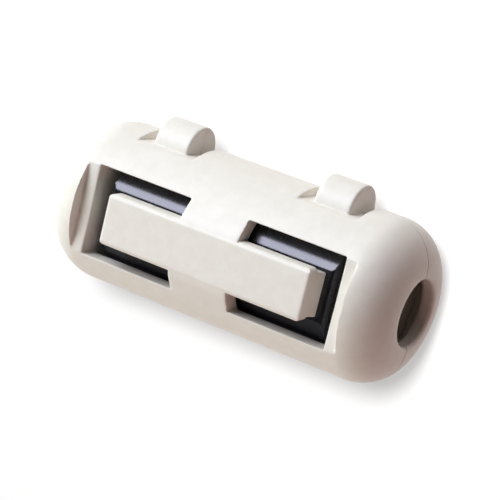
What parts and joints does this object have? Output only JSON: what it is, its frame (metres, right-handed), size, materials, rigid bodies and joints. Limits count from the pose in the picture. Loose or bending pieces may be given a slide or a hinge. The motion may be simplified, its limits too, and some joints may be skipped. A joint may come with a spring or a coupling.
{
  "type": "clip-on ferrite bead",
  "caption": "Hinged plastic clam-shell, round with soft ends, that snaps over a round cable and holds a split ferrite tube around it to damp interference.",
  "frame": {"origin": "centre of the cable hole, halfway along the case, on the parting plane", "axes": "+X along the cable, +Y towards the film hinges, +Z out of the upper half's window"},
  "size_m": [0.04, 0.0189, 0.017],
  "materials": {
    "case": "satin moulded nylon, off-white",
    "ferrite": "glossy charcoal sintered ferrite"
  },
  "bodies": {
    "lower": {"lower_case": "case", "lower_core": "ferrite"},
    "upper": {"upper_case": "case", "upper_core": "ferrite"}
  },
  "joints": [
    {"name": "case_hinge", "type": "hinge", "parent": "lower", "child": "upper", "pos_m": [0, 0.01025, 0], "axis": [-1, 0, 0], "range_deg": [0, 175]}
  ]
}
